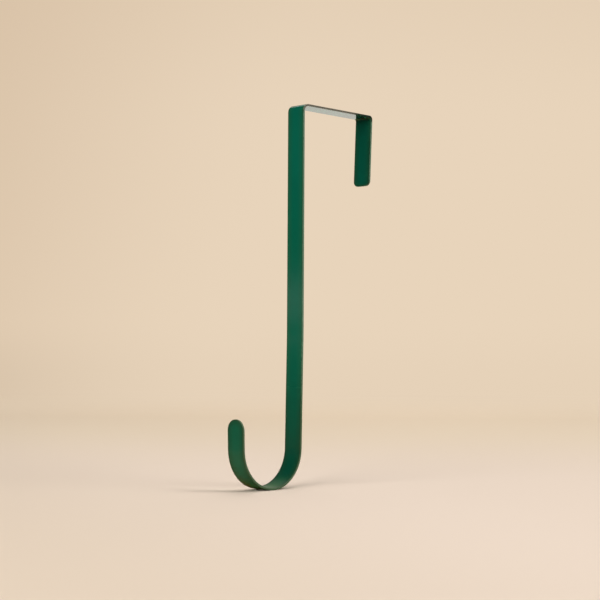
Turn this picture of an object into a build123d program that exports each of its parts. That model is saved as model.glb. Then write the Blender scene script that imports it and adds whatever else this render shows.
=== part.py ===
from build123d import *
from math import cos, radians, sin
import os

# Over-door wreath hanger, bent from one length of flat steel strap.
# Millimetres and degrees, +Z up. The origin is the middle of the bridge's underside,
# the face that rests on top of the door. The strap's width runs along X, the long
# strap and its hook hang on the -Y side, and the short back leg is on the +Y side.

# Strap stock
strap_width = 13.0
strap_thickness = 1.2
rim_radius = 0.2

# Over the door: the gap lies between the strap's inner faces, just under the bridge
door_gap = 60.4
overall_height = 228.6
front_bend_radius = 3.2
rear_bend_radius = 1.2
back_leg_length = 43.0
leg_corner_radius = 3.2
# The back leg closes on the door by this angle, so that its end grips
grip_angle = 2.5

# Long strap: a slight forward set, whose bend starts at this depth below the bridge
set_depth = 135.0
set_radius = 305.0
set_angle = 1.0

# Hook: inside radii of the quarter under the strap and of the quarter under the tip
heel_radius = 21.8
toe_radius = 23.6
# The tip runs on straight for this length, and opens outwards by this angle from plumb
tip_length = 17.5
tip_flare = 1.5

# Directions in the side view, where the first number is Y and the second is Z
grip_sin = sin(radians(grip_angle))
grip_cos = cos(radians(grip_angle))
set_sin = sin(radians(set_angle))
set_cos = cos(radians(set_angle))

# The back leg's door side, from its end up to the rear bend
rear_bend_centre_y = door_gap / 2 - rear_bend_radius
leg_top_y = rear_bend_centre_y + rear_bend_radius * grip_cos
leg_top_z = -rear_bend_radius * (1 + grip_sin)
leg_straight = back_leg_length - rear_bend_radius
leg_end_y = leg_top_y - leg_straight * grip_sin
leg_end_z = leg_top_z - leg_straight * grip_cos

# The strap's door side runs round the outside of the hook
heel_outside = heel_radius + strap_thickness
toe_outside = toe_radius + strap_thickness
hook_bottom_z = strap_thickness - overall_height
hook_start_z = hook_bottom_z + heel_outside * (1 - set_sin)

with BuildPart() as hanger:
    # The side view follows the strap's door side from the end of the back leg over the
    # bridge, down the long strap and round the hook, and is one thickness wide
    with BuildSketch(Plane.YZ) as side_view:
        with BuildLine() as door_side:
            leg = Line((leg_end_y, leg_end_z), (leg_top_y, leg_top_z))
            rear_bend = JernArc(leg @ 1, leg % 1, rear_bend_radius, 90 + grip_angle)
            bridge = Line(rear_bend @ 1, (front_bend_radius - door_gap / 2, 0))
            front_bend = JernArc(bridge @ 1, bridge % 1, front_bend_radius, 90)
            strap = Line(front_bend @ 1, (-door_gap / 2, -set_depth))
            forward_set = JernArc(strap @ 1, strap % 1, set_radius, -set_angle)
            shank_length = ((forward_set @ 1).Y - hook_start_z) / set_cos
            shank = PolarLine(forward_set @ 1, shank_length, direction=forward_set % 1)
            heel = JernArc(shank @ 1, shank % 1, heel_outside, set_angle - 90)
            toe = JernArc(heel @ 1, heel % 1, toe_outside, tip_flare - 90)
            tip = PolarLine(toe @ 1, tip_length - strap_width / 2, direction=toe % 1)
            offset(amount=strap_thickness, side=Side.RIGHT)
        make_face()
    extrude(amount=strap_width / 2, both=True)

    # The tip ends in a full round, as wide as the strap
    tip_direction = Vector(0, (tip % 1).X, (tip % 1).Y)
    tip_plane = Plane(
        origin=(0, (tip @ 1).X, (tip @ 1).Y),
        x_dir=(1, 0, 0),
        z_dir=Vector(1, 0, 0).cross(tip_direction),
    )
    with BuildSketch(tip_plane) as tip_round:
        Circle(strap_width / 2)
    extrude(amount=-strap_thickness)

    # The back leg's end is square, with two rounded corners
    leg_axis = Axis((0, leg_end_y, leg_end_z), (0, grip_sin, grip_cos))
    leg_end = hanger.faces().filter_by(leg_axis).sort_by(Axis.Z)[0]
    fillet(leg_end.edges().filter_by(Axis.X, reverse=True), leg_corner_radius)

    # Both rims of the strap are softened. Each rim is one smooth loop, round the end of
    # the leg, along the sides and round the tip, so its fillet starts at the leg's end
    leg_end = hanger.faces().filter_by(leg_axis).sort_by(Axis.Z)[0]
    fillet(leg_end.edges().filter_by(Axis.X), rim_radius)

hanger.part.label = "hanger"

os.makedirs("parts", exist_ok=True)
export_step(hanger.part, "parts/hanger.step")
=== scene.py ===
import bpy
from math import cos, radians, sin
from mathutils import Matrix, Vector


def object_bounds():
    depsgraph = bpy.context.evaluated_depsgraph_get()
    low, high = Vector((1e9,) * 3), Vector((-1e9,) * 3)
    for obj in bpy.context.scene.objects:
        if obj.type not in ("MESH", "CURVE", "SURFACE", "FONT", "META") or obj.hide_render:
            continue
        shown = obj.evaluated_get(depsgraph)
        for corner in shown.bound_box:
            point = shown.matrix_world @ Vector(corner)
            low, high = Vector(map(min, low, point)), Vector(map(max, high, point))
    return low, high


# Wreath hanger: one flat steel strap, bent and painted dark green, stood on a pale sweep.
# Metres and degrees, +Z up. X runs across the strap, and the hook is on the -Y side.

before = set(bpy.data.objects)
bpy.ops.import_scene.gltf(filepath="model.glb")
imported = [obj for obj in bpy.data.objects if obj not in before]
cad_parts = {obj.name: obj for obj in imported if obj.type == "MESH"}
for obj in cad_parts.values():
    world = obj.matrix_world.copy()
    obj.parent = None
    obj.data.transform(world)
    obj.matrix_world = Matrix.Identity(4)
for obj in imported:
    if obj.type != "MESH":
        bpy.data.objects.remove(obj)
cadLow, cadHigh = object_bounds()
print("frame loaded:", ", ".join(sorted(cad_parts)))


# Shader helpers

class Wire:
    # one output of a node, with the arithmetic that a note on paper would use

    def __init__(self, recipe, socket):
        self.recipe = recipe
        self.socket = socket

    def maths(self, operation, *values):
        sockets = {f"i{slot}": value for slot, value in enumerate(values)}
        return self.recipe.add("Math", {"operation": operation}, **sockets)

    def __add__(self, other):
        return self.maths("ADD", self, other)

    def __radd__(self, other):
        return self.maths("ADD", other, self)

    def __sub__(self, other):
        return self.maths("SUBTRACT", self, other)

    def __rsub__(self, other):
        return self.maths("SUBTRACT", other, self)

    def __mul__(self, other):
        return self.maths("MULTIPLY", self, other)

    def __rmul__(self, other):
        return self.maths("MULTIPLY", other, self)

    def __pow__(self, other):
        return self.maths("POWER", self, other)

    def __rpow__(self, other):
        return self.maths("POWER", other, self)

    def atLeast(self, lowest):
        return self.maths("MAXIMUM", self, lowest)


class Recipe:
    # the node tree of one material or of the world

    def __init__(self, holder):
        holder.use_nodes = True
        self.tree = holder.node_tree
        self.tree.nodes.clear()

    def add(self, kind, settings=None, output=0, **sockets):
        node = self.tree.nodes.new("ShaderNode" + kind)
        for name, value in (settings or {}).items():
            setattr(node, name, value)
        for name, value in sockets.items():
            target = self.findInput(node, name)
            if isinstance(value, Wire):
                self.tree.links.new(value.socket, target)
            else:
                target.default_value = value
        if node.outputs:  # the tree's last node has none
            return Wire(self, node.outputs[output])

    def findInput(self, node, name):
        # basecolor finds Base Color, and i6 finds the input with that number
        if name[1:].isdigit():
            return node.inputs[int(name[1:])]
        for socket in node.inputs:
            if socket.enabled and socket.name.replace(" ", "").lower() == name:
                return socket
        raise KeyError(f"{node.name} has no input {name}")

    def ramp(self, value, low, high):
        # 0 at low and 1 at high, eased at both ends
        return self.add(
            "MapRange", {"interpolation_type": "SMOOTHSTEP"},
            value=value, frommin=low, frommax=high, tomin=0.0, tomax=1.0,
        )

    def blend(self, share, first, second):
        # all of the first colour at 0 and all of the second at 1
        return self.add(
            "Mix", {"data_type": "RGBA"}, output=2, i0=share, i6=first, i7=second
        )

    def along(self, place, direction):
        # how far the place lies in a direction
        return self.add(
            "VectorMath", {"operation": "DOT_PRODUCT"}, output="Value",
            i0=place, i1=direction,
        )


def srgb(red, green, blue):
    # a colour as a picture gives it, 0 to 255, turned into the values that light adds up in
    shares = [value / 255 for value in (red, green, blue)]
    linear = [s / 12.92 if s <= 0.04045 else ((s + 0.055) / 1.055) ** 2.4 for s in shares]
    return (*linear, 1.0)


def around(azimuth, elevation, distance, centre):
    # a place seen from centre: azimuth 0 is straight in front and 90 is towards +X
    turn = radians(azimuth)
    rise = radians(elevation)
    offset = Vector((sin(turn) * cos(rise), -cos(turn) * cos(rise), sin(rise)))
    return Vector(centre) + offset * distance


# Camera, at the place and with the lens found for the photograph

photoView = {
    "azimuth": 43.90,
    "distance": 0.8320,  # level distance from the Z axis
    "sideways": -0.0186,
    "height": -0.1412,
    "upwards": 1.76,
    "roll": 0.311,
    "focalPixels": 1354.7,
    "framePixels": 600,
    "sensor": 36.0,  # millimetres, as the lens is
    "nearest": 0.01,
    "farthest": 30,
}


def placeCamera(view):
    turn = radians(view["azimuth"])
    tilt = radians(view["upwards"])
    lean = radians(view["roll"])
    back = Vector((sin(turn), -cos(turn), 0))
    right = Vector((cos(turn), sin(turn), 0))
    place = back * view["distance"] + right * view["sideways"]
    place.z = view["height"]
    ahead = Vector((0, 0, sin(tilt))) - back * cos(tilt)
    upright = right.cross(ahead)
    across = right * cos(lean) + upright * sin(lean)
    upward = upright * cos(lean) - right * sin(lean)
    data = bpy.data.cameras.new("photoCamera")
    data.sensor_width = view["sensor"]
    data.lens = view["focalPixels"] / view["framePixels"] * view["sensor"]
    data.clip_start = view["nearest"]
    data.clip_end = view["farthest"]
    camera = bpy.data.objects.new("photoCamera", data)
    bpy.context.scene.collection.objects.link(camera)
    turned = Matrix((across, upward, -ahead)).transposed().to_4x4()
    camera.matrix_world = Matrix.Translation(place) @ turned
    bpy.context.scene.camera = camera


placeCamera(photoView)
print("camera placed")


# Paint: a satin green coat over smooth steel strap, with painted shade, highlights and
# reflections in its colour

paint = {
    # the coat on the broad faces
    "green": srgb(7, 108, 84),
    "deepGreen": srgb(6, 103, 80),
    "middleGreen": srgb(5, 101, 76),
    # painted shade: the strap's foot is darker
    "footGreen": srgb(2, 82, 59),
    # painted shade: the short leg is darker
    "legGreen": srgb(5, 96, 74),
    "hookGreen": srgb(14, 94, 67),
    # painted reflection: the hook's heel is lighter and greener
    "heelGreen": srgb(26, 104, 56),
    # painted shade: the hollow of the rear bend is dark
    "hollowGreen": srgb(3, 40, 24),
    "hollowShare": 0.6,
    # near the rims: a painted highlight in a wide band and a warmer painted reflection in a
    # fine line, each with a lower tone of painted shade
    "rimGreen": srgb(34, 98, 66),
    "rimGreenLow": srgb(28, 76, 48),
    "rimWarm": srgb(66, 92, 64),
    "rimWarmLow": srgb(54, 68, 42),
    "rimShare": 0.8,
    "legRimShare": 0.6,
    "rimWidth": 0.005,
    "warmWidth": 0.0009,
    # the narrow side faces: lighter with painted light, darker low down with painted shade,
    # grey along the bridge with a painted reflection and dark at the rear corner with
    # painted shade
    "edge": srgb(104, 142, 114),
    "edgeLow": srgb(75, 107, 74),
    "edgeBridge": srgb(124, 118, 102),
    "edgeCorner": srgb(26, 54, 34),
    "edgeWidth": 0.00025,
    "edgeFull": 0.00005,
    # where each tone begins and where it is full, on Z
    "middleFade": (-0.03, -0.09),
    "footFade": (-0.125, -0.215),
    "heelFade": (-0.2190, -0.2260),
    "legFade": (-0.006, -0.02),
    "hollowFade": (-0.0038, -0.0004),
    "undersideFade": (0.0009, 0.0003),
    "lowRimFade": (-0.15, -0.19),
    "lowEdgeFade": (-0.13, -0.19),
    "topEdgeFade": (-0.004, -0.001),
    "dullFade": (-0.135, -0.185),
    # and on Y
    "hookFront": (-0.05, -0.066),
    "legBack": (0.0, 0.02),
    "hollowBack": (0.008, 0.014),
    "doorSide": (0.0311, 0.0305),
    "cornerBack": (0.012, 0.018),
    # the strap's two ends, which the rims go round
    "tipCentre": -0.19225,
    "legEnd": -0.0430,
    "legCorner": 0.0032,
    "cornerPower": 3,
    # clouds in the coat's tone and gloss
    "cloudSize": 45,
    "cloudDetail": 4.0,
    "cloudRoughness": 0.55,
    "cloudFade": (0.3, 0.7),
    "cloudMiddle": 0.5,
    # gloss
    "roughness": 0.16,
    "roughnessDrift": 0.05,
    "footRoughness": 0.32,
    "edgeRoughness": 0.5,
    "refraction": 1.5,
    "coat": 0.3,
    "footCoat": 0.05,
    "coatRoughness": 0.11,
    # the fine peel and grain of sprayed paint
    "peelSize": 900,
    "peelDetail": 2.0,
    "peelHeight": 0.000012,
    "grainSize": 5200,
    "grainDetail": 1.0,
    "grainHeight": 0.000002,
}


def mixCoat(recipe, look, clouds, forwards, upwards, hook, leg):
    # the coat is a little deeper half way down, and deeper still at the strap's foot, which
    # is painted shade
    cloudy = recipe.ramp(clouds, *look["cloudFade"])
    upper = recipe.blend(cloudy, look["deepGreen"], look["green"])
    half = recipe.ramp(upwards, *look["middleFade"])
    middle = recipe.blend(half, upper, look["middleGreen"])
    footShade = recipe.ramp(upwards, *look["footFade"])
    straight = recipe.blend(footShade, middle, look["footGreen"])
    # it is deeper on the short leg too, which is painted shade, and warmer on the hook and,
    # as a painted reflection, at the hook's heel
    legged = recipe.blend(leg, straight, look["legGreen"])
    hooked = recipe.blend(hook, legged, look["hookGreen"])
    heelReflection = recipe.ramp(upwards, *look["heelFade"])
    heeled = recipe.blend(heelReflection, hooked, look["heelGreen"])
    # painted shade darkens the hollow of the rear bend, on the door side alone
    underside = recipe.ramp(upwards, *look["undersideFade"])
    inside = underside * recipe.ramp(forwards, *look["doorSide"])
    bend = recipe.ramp(upwards, *look["hollowFade"])
    hollowShade = bend * recipe.ramp(forwards, *look["hollowBack"])
    return recipe.blend(inside * hollowShade * look["hollowShare"], heeled, look["hollowGreen"])


def measureReach(look, halfWidth, across, upwards, hook, leg):
    # the distance from the strap's middle line, which is halfWidth all along its outline:
    # on its sides, round the tip and round the leg's end with its two corners
    lift = (upwards - look["tipCentre"]).atLeast(0.0) * hook
    tipped = (across * across + lift * lift) ** 0.5
    drop = (look["legEnd"] + look["legCorner"] - upwards).atLeast(0.0) * leg
    dropped = drop * (halfWidth / look["legCorner"])
    power = look["cornerPower"]
    return (tipped ** power + dropped ** power) ** (1 / power)


def tintRims(recipe, look, body, rimHighlightBand, rimReflectionLine, edge, forwards, upwards, leg):
    # near the rims sit a painted highlight and a warmer painted reflection, darker and
    # warmer with painted shade low down and on the leg
    low = recipe.ramp(upwards, *look["lowRimFade"]) + leg * look["legRimShare"]
    rimHighlightTone = recipe.blend(low, look["rimGreen"], look["rimGreenLow"])
    rimmed = recipe.blend(rimHighlightBand * look["rimShare"], body, rimHighlightTone)
    rimReflectionTone = recipe.blend(low, look["rimWarm"], look["rimWarmLow"])
    warmed = recipe.blend(rimReflectionLine * look["rimShare"], rimmed, rimReflectionTone)
    # the side faces are lighter with painted light, darker low down with painted shade,
    # greyer along the bridge with a painted reflection and dark at the rear corner with
    # painted shade
    lowEdgeShade = recipe.ramp(upwards, *look["lowEdgeFade"])
    strapSide = recipe.blend(lowEdgeShade, look["edge"], look["edgeLow"])
    corner = recipe.ramp(forwards, *look["cornerBack"])
    bridgeSide = recipe.blend(corner, look["edgeBridge"], look["edgeCorner"])
    topEdge = recipe.ramp(upwards, *look["topEdgeFade"])
    side = recipe.blend(topEdge, strapSide, bridgeSide)
    return recipe.blend(edge, warmed, side)


def makePaint(look):
    material = bpy.data.materials.new("satinGreenPaint")
    recipe = Recipe(material)
    place = recipe.add("TexCoord", output="Object")
    across, forwards, upwards = (
        recipe.add("SeparateXYZ", output=axis, vector=place) for axis in "XYZ"
    )
    clouds = recipe.add(
        "TexNoise", vector=place, scale=look["cloudSize"],
        detail=look["cloudDetail"], roughness=look["cloudRoughness"],
    )
    hook = recipe.ramp(forwards, *look["hookFront"])
    leg = recipe.ramp(forwards, *look["legBack"]) * recipe.ramp(upwards, *look["legFade"])
    body = mixCoat(recipe, look, clouds, forwards, upwards, hook, leg)
    halfWidth = cadHigh.x
    reach = measureReach(look, halfWidth, across, upwards, hook, leg)
    edgeStart = halfWidth - look["edgeWidth"]
    rimHighlightBand = recipe.ramp(reach, halfWidth - look["rimWidth"], halfWidth)
    rimReflectionLine = recipe.ramp(reach, halfWidth - look["warmWidth"], edgeStart)
    edge = recipe.ramp(reach, edgeStart, halfWidth - look["edgeFull"])
    colour = tintRims(recipe, look, body, rimHighlightBand, rimReflectionLine, edge, forwards, upwards, leg)
    # satin above and duller at the foot, with no gloss on the side faces
    dull = recipe.ramp(upwards, *look["dullFade"])
    even = look["roughness"] + dull * (look["footRoughness"] - look["roughness"])
    cloudy = even + (clouds - look["cloudMiddle"]) * look["roughnessDrift"]
    roughness = cloudy + edge * (look["edgeRoughness"] - look["roughness"])
    coat = look["coat"] + dull * (look["footCoat"] - look["coat"])
    peel = recipe.add(
        "TexNoise", vector=place, scale=look["peelSize"], detail=look["peelDetail"]
    )
    grain = recipe.add(
        "TexNoise", vector=place, scale=look["grainSize"], detail=look["grainDetail"]
    )
    height = peel * look["peelHeight"] + grain * look["grainHeight"]
    shader = recipe.add(
        "BsdfPrincipled",
        basecolor=colour,
        roughness=roughness,
        ior=look["refraction"],
        normal=recipe.add("Bump", height=height, strength=1.0, distance=1.0),
        coatweight=(1.0 - edge) * coat,
        coatroughness=look["coatRoughness"],
    )
    recipe.add("OutputMaterial", surface=shader)
    return material


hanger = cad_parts["hanger"]
hanger.material_slots[0].material = makePaint(paint)
print("paint mixed")


# Sweep: a pale sheet that is the floor, curves up and is the wall behind

roomTone = srgb(231, 211, 186)  # what lies beyond the sweep

sweep = {
    "front": 0.44,
    "behind": 1.05,
    "frontHalfWidth": 0.13,
    "backHalfWidth": 0.50,
    "wallHeight": 0.62,
    "coveRadius": 0.36,
    "coveSteps": 24,
    "apronSize": 4.0,
    "apronDrop": 0.00008,
    # the wall's tones, with painted shade to the left, at its foot and near the top, and
    # where each begins and is full
    "wall": srgb(232, 212, 187),
    "wallShade": srgb(214, 191, 164),
    "wallFoot": srgb(228, 208, 183),
    "wallFootShade": srgb(180, 160, 135),
    "shadeRise": 0.25,
    "shadeFade": (0.05, 0.75),  # leftwards
    "footShare": 0.6,
    "footFade": (0.12, 0.02),  # above the floor
    "crownShare": 0.25,
    "crownFade": (0.15, 0.40),  # on Z
    # what the paint mirrors: the wall is bright low down and dim higher up
    "wallMirroredLow": (1.08, 1.05, 0.96, 1.0),
    "wallMirroredHigh": (0.5, 0.46, 0.35, 1.0),
    "mirrorFade": (-0.15, -0.03),  # on Z
    "floorMirrored": srgb(150, 104, 48),
    # the floor's tones, with painted shade to the left
    "floorNear": srgb(240, 221, 203),
    "floorFar": srgb(240, 221, 196),
    "floorLeft": srgb(222, 203, 180),
    "farFade": (0.0, 0.5),
    "leftShare": 0.8,
    "leftSlant": 0.5,
    "leftFade": (0.0, 0.35),
    "glowHeight": 0.02,
    "roomFade": (0.84, 1.04),  # from the origin
}


def makeSheetMaterial(look, azimuth):
    # the floor takes light and shadow; higher up the sheet glows, with painted shade in its
    # tone
    material = bpy.data.materials.new("paleSheet")
    recipe = Recipe(material)
    turn = radians(azimuth)
    floorLevel = cadLow.z
    place = recipe.add("TexCoord", output="Object")
    upwards = recipe.add("SeparateXYZ", output="Z", vector=place)
    sideways = recipe.along(place, (cos(turn), sin(turn), 0.0))
    backwards = recipe.along(place, (-sin(turn), cos(turn), 0.0))
    mirrored = recipe.add("LightPath", output="Is Glossy Ray")
    # painted shade makes the wall darker to the left, near its foot and higher up
    shade = recipe.ramp(sideways * -1.0 + upwards * look["shadeRise"], *look["shadeFade"])
    plain = recipe.blend(shade, look["wall"], look["wallShade"])
    crownShade = recipe.ramp(upwards, *look["crownFade"])
    crowned = recipe.blend(crownShade * look["crownShare"], plain, look["wallShade"])
    low = recipe.blend(shade, look["wallFoot"], look["wallFootShade"])
    footShade = recipe.ramp(upwards, *(floorLevel + height for height in look["footFade"]))
    tone = recipe.blend(footShade * look["footShare"], crowned, low)
    high = recipe.ramp(upwards, *look["mirrorFade"])
    image = recipe.blend(high, look["wallMirroredLow"], look["wallMirroredHigh"])
    glow = recipe.add("Emission", color=recipe.blend(mirrored, tone, image))
    # the floor is darker far off, and to the left with painted shade
    far = recipe.ramp(backwards, *look["farFade"])
    level = recipe.blend(far, look["floorNear"], look["floorFar"])
    slanted = sideways * -1.0 - backwards * look["leftSlant"]
    leftShade = recipe.ramp(slanted, *look["leftFade"])
    sheet = recipe.blend(leftShade * look["leftShare"], level, look["floorLeft"])
    paper = recipe.add(
        "BsdfPrincipled",
        basecolor=recipe.blend(mirrored, sheet, look["floorMirrored"]),
        roughness=1.0,
        speculariorlevel=0.0,
    )
    rise = recipe.ramp(upwards, floorLevel, floorLevel + look["glowHeight"])
    lit = recipe.add("MixShader", i0=rise, i1=paper, i2=glow)
    # far out on the flat part, the floor fades into the tone of the room
    distance = recipe.add(
        "VectorMath", {"operation": "LENGTH"}, output="Value", i0=place
    )
    fade = recipe.ramp(distance, *look["roomFade"]) * (1.0 - rise)
    beyond = recipe.add("Emission", color=roomTone)
    whole = recipe.add("MixShader", i0=fade, i1=lit, i2=beyond)
    recipe.add("OutputMaterial", surface=whole)
    return material


def selectCorners(piece, wanted):
    # selects the corners that pass the test, with the edges between them
    bpy.ops.mesh.select_mode(type="VERT")
    bpy.ops.mesh.select_all(action="DESELECT")
    bpy.ops.object.mode_set(mode="OBJECT")
    for corner in piece.data.vertices:
        corner.select = wanted(corner.co)
    bpy.ops.object.mode_set(mode="EDIT")


def startPlane(name, size):
    # a new plane, selected all over in edit mode
    bpy.ops.object.select_all(action="DESELECT")
    bpy.ops.mesh.primitive_plane_add(size=size)
    plane = bpy.context.object
    plane.name = name
    bpy.ops.object.mode_set(mode="EDIT")
    bpy.ops.mesh.select_all(action="SELECT")
    return plane


def makeSweep(look, azimuth):
    depth = look["front"] + look["behind"]
    narrowing = look["frontHalfWidth"] / look["backHalfWidth"]
    wallFoot = cadLow.z + 0.001  # just above the corners on the floor
    sheet = startPlane("paleSweep", 1)
    bpy.ops.transform.resize(value=(look["backHalfWidth"] * 2, depth, 1))
    bpy.ops.transform.translate(value=(0, look["behind"] - depth / 2, cadLow.z))
    selectCorners(sheet, lambda spot: spot.y < 0)
    bpy.ops.transform.resize(value=(narrowing, 1, 1))
    selectCorners(sheet, lambda spot: spot.y > 0)
    bpy.ops.mesh.extrude_region_move(
        TRANSFORM_OT_translate={"value": (0, 0, look["wallHeight"])}
    )
    selectCorners(sheet, lambda spot: spot.y > 0 and spot.z < wallFoot)
    bpy.ops.mesh.bevel(offset=look["coveRadius"], segments=look["coveSteps"])
    bpy.ops.mesh.select_all(action="SELECT")
    bpy.ops.transform.rotate(
        value=-radians(azimuth), orient_axis="Z", center_override=(0, 0, 0)
    )
    bpy.ops.object.mode_set(mode="OBJECT")
    bpy.ops.object.shade_smooth()
    sheet.data.materials.append(makeSheetMaterial(look, azimuth))
    return sheet


def makeApron(look, sheet):
    # carries the floor on past the sweep for the camera alone, so it adds no light
    apron = startPlane("floorApron", look["apronSize"])
    bpy.ops.transform.translate(value=(0, 0, cadLow.z - look["apronDrop"]))
    bpy.ops.object.mode_set(mode="OBJECT")
    apron.data.materials.append(sheet.data.materials[0])
    apron.visible_diffuse = False
    apron.visible_glossy = False


makeApron(sweep, makeSweep(sweep, photoView["azimuth"]))
print("sweep laid")


# Light: a wide soft box in front of the strap, a stronger one from the right, one high up
# behind it with a wide glow round it, and a small glow low on the left

lamps = {
    "frontBox": {
        "azimuth": 6, "elevation": 24, "distance": 1.3,
        "side": 0.9, "watts": 10.5, "mirrored": False,
    },
    "sideBox": {
        "azimuth": 116, "elevation": 43, "distance": 2.0,
        "side": 1.05, "watts": 21, "mirrored": True,
    },
    "backBox": {
        "azimuth": 224, "elevation": 62, "distance": 1.4,
        "side": 1.0, "watts": 4.5, "mirrored": True,
    },
    "backGlow": {
        "azimuth": 224, "elevation": 66, "distance": 1.4,
        "side": 1.9, "watts": 3.7, "mirrored": False,
    },
    "lowGlow": {
        "azimuth": -44, "elevation": 1.5, "distance": 0.9,
        "side": 0.05, "watts": 0.0052, "mirrored": True,
    },
}


def hangLamps(rig):
    aim = (cadLow + cadHigh) / 2
    for name, lamp in rig.items():
        data = bpy.data.lights.new(name, "AREA")
        data.shape = "SQUARE"
        data.size = lamp["side"]
        data.energy = lamp["watts"]
        place = around(lamp["azimuth"], lamp["elevation"], lamp["distance"], aim)
        light = bpy.data.objects.new(name, data)
        bpy.context.scene.collection.objects.link(light)
        light.location = place
        light.rotation_euler = (place - aim).to_track_quat("Z", "Y").to_euler()
        light.visible_camera = False
        light.visible_glossy = lamp["mirrored"]


room = {
    "fill": (0.95, 0.95, 0.95, 1.0),
    "fillStrength": 0.12,
    "mirroredStrength": 0.012,
}


def makeRoom(look):
    # the room beyond the sweep: pale to the camera, dim to the paint that mirrors it
    world = bpy.data.worlds.new("paleRoom")
    bpy.context.scene.world = world
    recipe = Recipe(world)
    seen = recipe.add("LightPath", output="Is Camera Ray")
    mirrored = recipe.add("LightPath", output="Is Glossy Ray")
    backdrop = recipe.add("Background", color=roomTone, strength=1.0)
    fill = recipe.add("Background", color=look["fill"], strength=look["fillStrength"])
    dim = recipe.add("Background", color=look["fill"], strength=look["mirroredStrength"])
    unseen = recipe.add("MixShader", i0=mirrored, i1=fill, i2=dim)
    whole = recipe.add("MixShader", i0=seen, i1=unseen, i2=backdrop)
    recipe.add("OutputWorld", surface=whole)


hangLamps(lamps)
makeRoom(room)
bpy.context.scene.view_settings.view_transform = "Standard"
print("lights hung")
